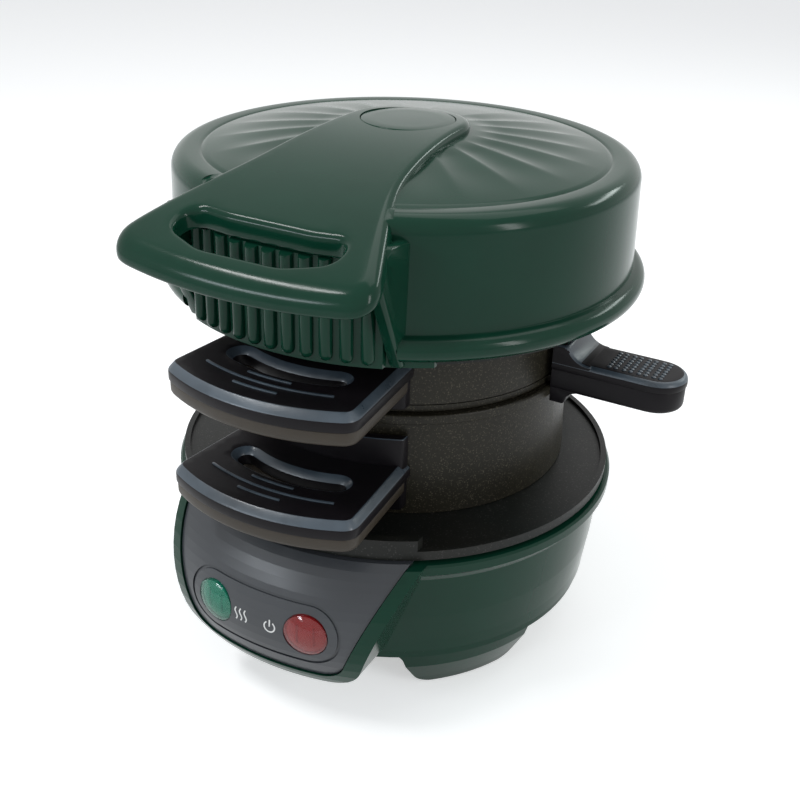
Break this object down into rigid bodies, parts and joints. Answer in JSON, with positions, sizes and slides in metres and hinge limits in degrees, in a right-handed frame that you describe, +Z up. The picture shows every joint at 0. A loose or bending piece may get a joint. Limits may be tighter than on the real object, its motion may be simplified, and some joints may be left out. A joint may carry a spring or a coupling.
{
  "type": "electric burger press",
  "caption": "Round tabletop burger press with a heated base, stacked hinged cooking rings, a swing-out middle plate and a heated lid with a slotted front handle.",
  "frame": {"origin": "on the table, at the feet's rubber pads, below the middle of the whole object's width and depth", "axes": "+Z up, -Y towards the front with the control panel and handles, +X towards the side handle"},
  "size_m": [0.1668, 0.1802, 0.1654],
  "materials": {
    "green_plastic": "glossy dark green moulded plastic",
    "panel_plastic": "satin dark grey moulded plastic",
    "green_lens": "clear green domed lens",
    "red_lens": "clear red domed lens",
    "black_plastic": "satin black phenolic with a fine grain",
    "heating_plate": "black non-stick coating on cast aluminium",
    "ring_coating": "dark sparkling non-stick coating on drawn steel",
    "bracket_metal": "black coated steel",
    "steel": "plain turned steel",
    "screw_steel": "zinc plated steel",
    "element_sheath": "heat-darkened steel sheath",
    "shield_sheet": "plain sheet",
    "ceramic": "ivory ceramic",
    "lamp_glass": "clear lamp glass",
    "wire_sleeve": "woven heat-proof sleeve",
    "rubber": "soft black rubber"
  },
  "bodies": {
    "base": {"base_housing": "green_plastic", "base_bottom_cover": "green_plastic", "foot_pads": "rubber", "control_panel": "panel_plastic", "preheat_lens": "green_lens", "power_lens": "red_lens", "indicator_lamps": "lamp_glass", "lamp_sockets": "ceramic", "lower_plate": "heating_plate", "lower_element": "element_sheath", "lower_thermostat": "ceramic", "thermal_fuse": "ceramic", "base_heat_shield": "shield_sheet", "base_cover_screws": "screw_steel", "lower_plate_screws": "screw_steel", "hinge_pin": "steel", "hinge_clips": "steel", "cord_gland": "black_plastic", "terminal_block": "ceramic", "base_wiring": "wire_sleeve"},
    "lower_ring_body": {"lower_ring": "ring_coating", "lower_hinge_bracket": "bracket_metal", "lower_ring_rivets": "steel", "lower_handle_top": "black_plastic", "lower_handle_bottom": "black_plastic", "lower_handle_screws": "screw_steel"},
    "upper_ring_body": {"upper_ring": "ring_coating", "upper_hinge_bracket": "bracket_metal", "upper_ring_rivets": "steel", "upper_handle_top": "black_plastic", "upper_handle_bottom": "black_plastic", "upper_handle_screws": "screw_steel", "plate_pivot": "steel"},
    "cooking_plate_body": {"cooking_plate": "ring_coating", "plate_handle_top": "black_plastic", "plate_handle_bottom": "black_plastic", "plate_handle_screws": "screw_steel"},
    "lid": {"lid_shell": "green_plastic", "lid_grille": "green_plastic", "badge_disc": "green_plastic", "upper_plate": "heating_plate", "upper_element": "element_sheath", "upper_thermostat": "ceramic", "lid_heat_shield": "shield_sheet", "lid_screws": "screw_steel", "lid_hinge_bracket": "bracket_metal", "lid_bracket_screws": "screw_steel", "lid_wiring": "wire_sleeve"}
  },
  "joints": [
    {"name": "lower_ring_hinge", "type": "hinge", "parent": "base", "child": "lower_ring_body", "pos_m": [-0.00915, 0.0813, 0.066], "axis": [-1, 0, 0], "range_deg": [0, 45]},
    {"name": "upper_ring_hinge", "type": "hinge", "parent": "lower_ring_body", "child": "upper_ring_body", "pos_m": [-0.00915, 0.0813, 0.066], "axis": [-1, 0, 0], "range_deg": [0, 45]},
    {"name": "lid_hinge", "type": "hinge", "parent": "upper_ring_body", "child": "lid", "pos_m": [-0.00915, 0.0813, 0.066], "axis": [-1, 0, 0], "range_deg": [0, 100]},
    {"name": "cooking_plate_swing", "type": "hinge", "parent": "upper_ring_body", "child": "cooking_plate_body", "pos_m": [0.02572, 0.0563, 0.0933], "axis": [0, 0, 1], "range_deg": [0, 120]}
  ]
}
